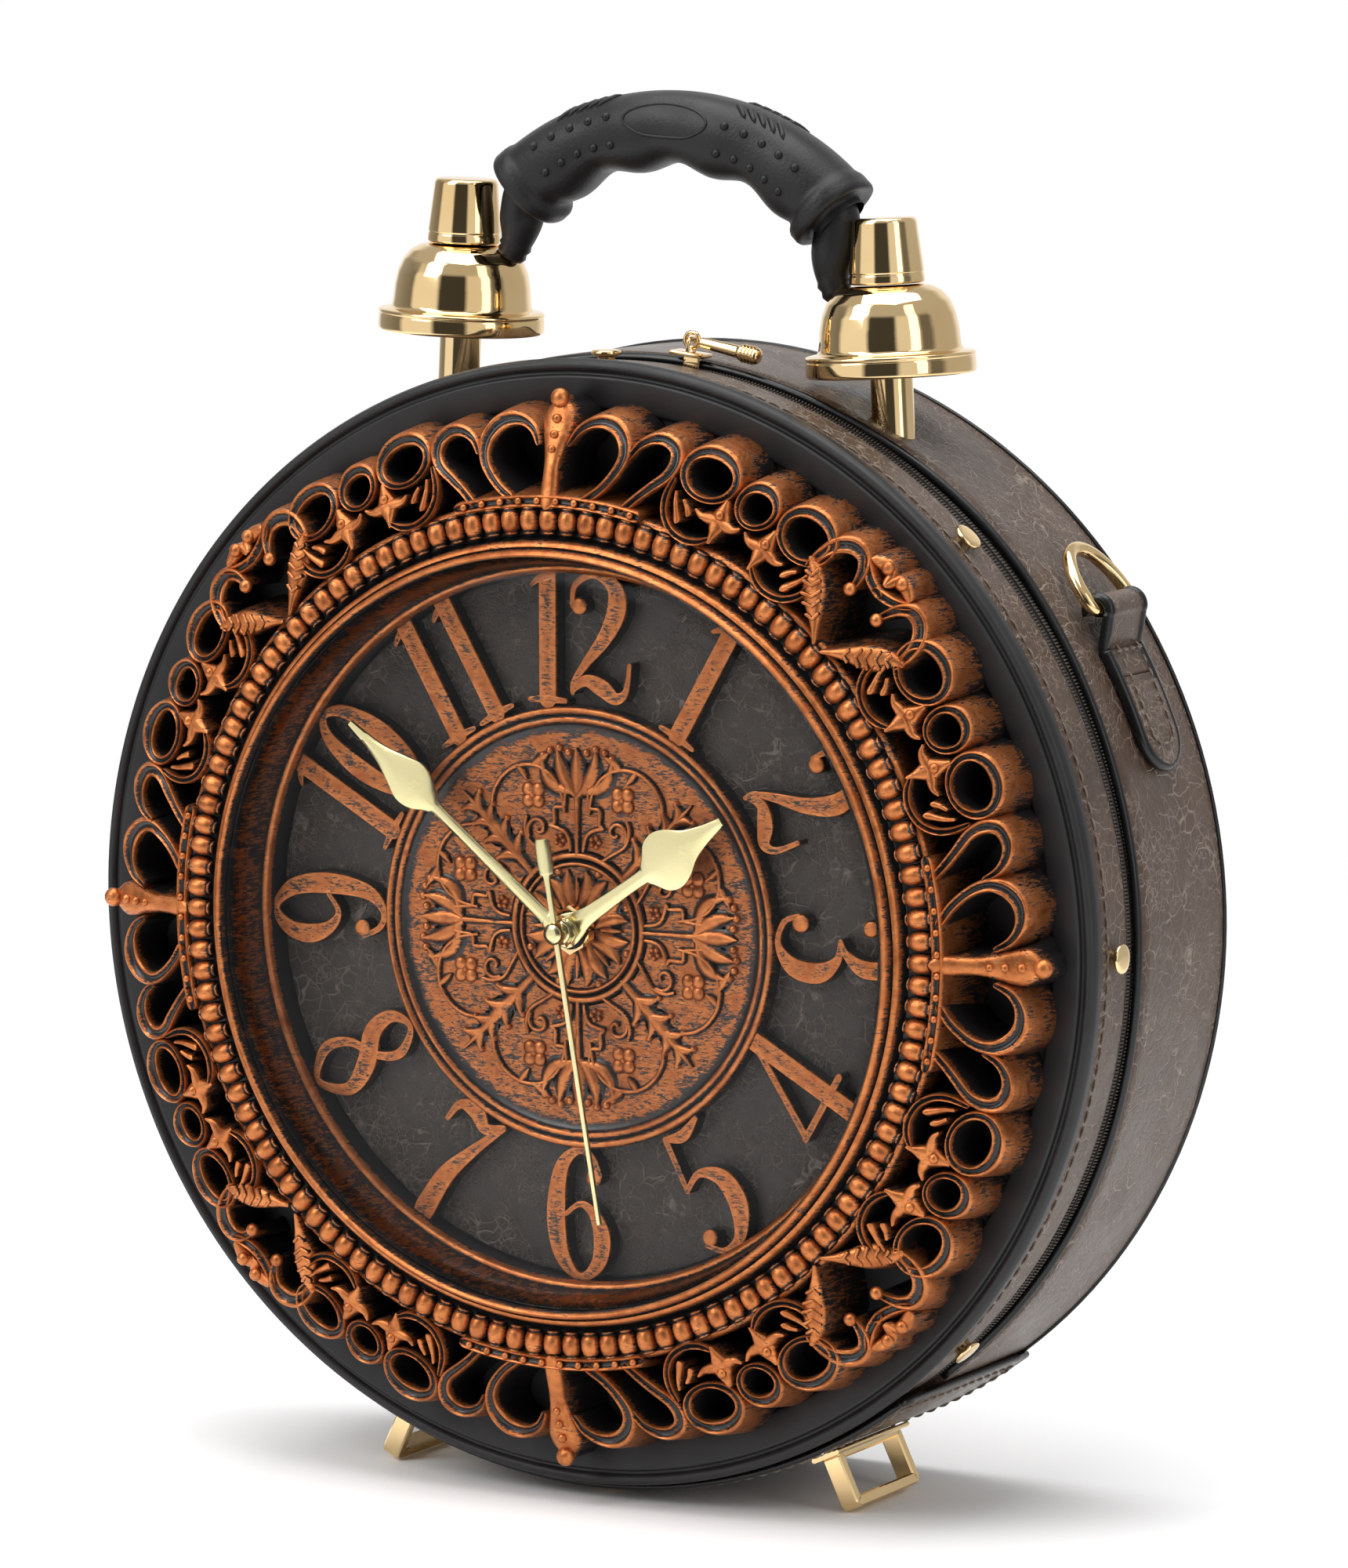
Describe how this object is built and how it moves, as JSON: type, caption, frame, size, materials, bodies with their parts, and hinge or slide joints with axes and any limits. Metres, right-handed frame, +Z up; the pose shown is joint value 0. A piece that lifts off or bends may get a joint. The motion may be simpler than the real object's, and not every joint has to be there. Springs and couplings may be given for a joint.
{
  "type": "clock handbag",
  "caption": "Round clamshell handbag shaped like a twin-bell alarm clock: a zipped drum with a working quartz clock as its front door, bells, grip handle and loop feet.",
  "frame": {"origin": "middle of the bounding box's underside, on the ground the feet stand on", "axes": "+Z up, the dial faces -Y, +X to the right of the dial"},
  "size_m": [0.243, 0.082, 0.2983],
  "materials": {
    "leather": "brown crackled leather, pale stitching",
    "trim": "black piping",
    "cloth": "black lining cloth",
    "zip": "brown woven zip",
    "gold": "mirror gold plating",
    "pale_gold": "pale polished gold",
    "copper": "antiqued copper over black moulding",
    "black": "black moulding",
    "board": "black board",
    "rubber": "black moulded rubber",
    "clear": "clear window",
    "gears": "pale plastic gears",
    "steel": "bright steel",
    "winding": "lacquered copper winding"
  },
  "bodies": {
    "shell": {"shell_wall": "leather", "back_panel": "leather", "shell_lining": "cloth", "mouth_piping": "trim", "zip_rear_half": "zip", "base_panel": "leather", "rivet_6": "gold", "foot_right": "gold", "foot_left": "gold", "bell_post_right": "gold", "bell_post_left": "gold", "bell_right": "gold", "bell_left": "gold", "bell_cap_right": "gold", "bell_cap_left": "gold", "post_nut_right": "gold", "post_nut_left": "gold", "handle_core": "rubber", "handle_grip": "rubber", "ring_tab_right": "leather", "ring_tab_left": "leather"},
    "door": {"door_rim": "black", "door_board": "board", "door_band": "leather", "ornament_ring": "copper", "bezel": "copper", "lens": "clear", "dial_leather": "leather", "numeral_ring": "copper", "medallion": "copper", "zip_front_half": "zip", "rivet_12": "gold", "rivet_1_30": "gold", "rivet_3": "gold", "rivet_4_30": "gold", "rivet_7_30": "gold", "rivet_9": "gold", "rivet_10_30": "gold", "movement_case": "black", "movement_cover": "black", "battery": "steel", "hub_nut": "pale_gold", "coil": "winding"},
    "slider": {"zip_slider": "gold"},
    "pull": {"zip_pull": "gold"},
    "carry_ring_right": {"ring_right": "gold"},
    "carry_ring_left": {"ring_left": "gold"},
    "hour": {"hour_hand": "pale_gold", "hour_wheel": "gears"},
    "minute": {"minute_hand": "pale_gold", "minute_arbor": "gears"},
    "seconds": {"second_hand": "pale_gold", "seconds_arbor": "gears"},
    "third": {"third_wheel": "gears"},
    "intermediate": {"intermediate_wheel": "gears"},
    "rotor": {"rotor": "steel"},
    "motion": {"motion_wheel": "gears"},
    "setting": {"setting_knob": "gears"}
  },
  "joints": [
    {"name": "door_hinge", "type": "hinge", "parent": "shell", "child": "door", "pos_m": [0, -0.0188, 0.00206], "axis": [1, 0, 0], "range_deg": [0, 95]},
    {"name": "slider_run", "type": "hinge", "parent": "shell", "child": "slider", "pos_m": [0, -0.002, 0.12326], "axis": [0, 1, 0], "range_deg": [-145, 4]},
    {"name": "pull_swing", "type": "hinge", "parent": "slider", "child": "pull", "pos_m": [0.01511, -0.002, 0.24634], "axis": [0, 1, 0], "range_deg": [-175, 0]},
    {"name": "ring_right_swing", "type": "hinge", "parent": "shell", "child": "carry_ring_right", "pos_m": [0.10382, 0.019, 0.19198], "axis": [0, 1, 0], "range_deg": [0, 150]},
    {"name": "ring_left_swing", "type": "hinge", "parent": "shell", "child": "carry_ring_left", "pos_m": [-0.10382, 0.019, 0.19198], "axis": [0, 1, 0], "range_deg": [-150, 0]},
    {"name": "seconds_spin", "type": "hinge", "parent": "door", "child": "seconds", "pos_m": [0, -0.014, 0.12326], "axis": [0, 1, 0], "continuous": true},
    {"name": "minute_spin", "type": "hinge", "parent": "door", "child": "minute", "pos_m": [0, -0.014, 0.12326], "axis": [0, 1, 0], "continuous": true},
    {"name": "hour_spin", "type": "hinge", "parent": "door", "child": "hour", "pos_m": [0, -0.014, 0.12326], "axis": [0, 1, 0], "continuous": true},
    {"name": "third_spin", "type": "hinge", "parent": "door", "child": "third", "pos_m": [0.00624, -0.014, 0.12686], "axis": [0, 1, 0], "continuous": true},
    {"name": "intermediate_spin", "type": "hinge", "parent": "door", "child": "intermediate", "pos_m": [0, -0.014, 0.13126], "axis": [0, 1, 0], "continuous": true},
    {"name": "rotor_spin", "type": "hinge", "parent": "door", "child": "rotor", "pos_m": [0.003, -0.014, 0.13646], "axis": [0, 1, 0], "continuous": true},
    {"name": "motion_spin", "type": "hinge", "parent": "door", "child": "motion", "pos_m": [-0.0052, -0.014, 0.12626], "axis": [0, 1, 0], "continuous": true},
    {"name": "setting_spin", "type": "hinge", "parent": "door", "child": "setting", "pos_m": [-0.01169, -0.014, 0.13001], "axis": [0, 1, 0], "continuous": true}
  ],
  "couplings": [
    {"joint": "third_spin", "follows": "seconds_spin", "ratio": -0.13333},
    {"joint": "minute_spin", "follows": "seconds_spin", "ratio": 0.016667},
    {"joint": "motion_spin", "follows": "seconds_spin", "ratio": -0.0055556},
    {"joint": "hour_spin", "follows": "seconds_spin", "ratio": 0.0013889},
    {"joint": "setting_spin", "follows": "seconds_spin", "ratio": 0.0083333},
    {"joint": "intermediate_spin", "follows": "seconds_spin", "ratio": -5},
    {"joint": "rotor_spin", "follows": "seconds_spin", "ratio": 30}
  ]
}
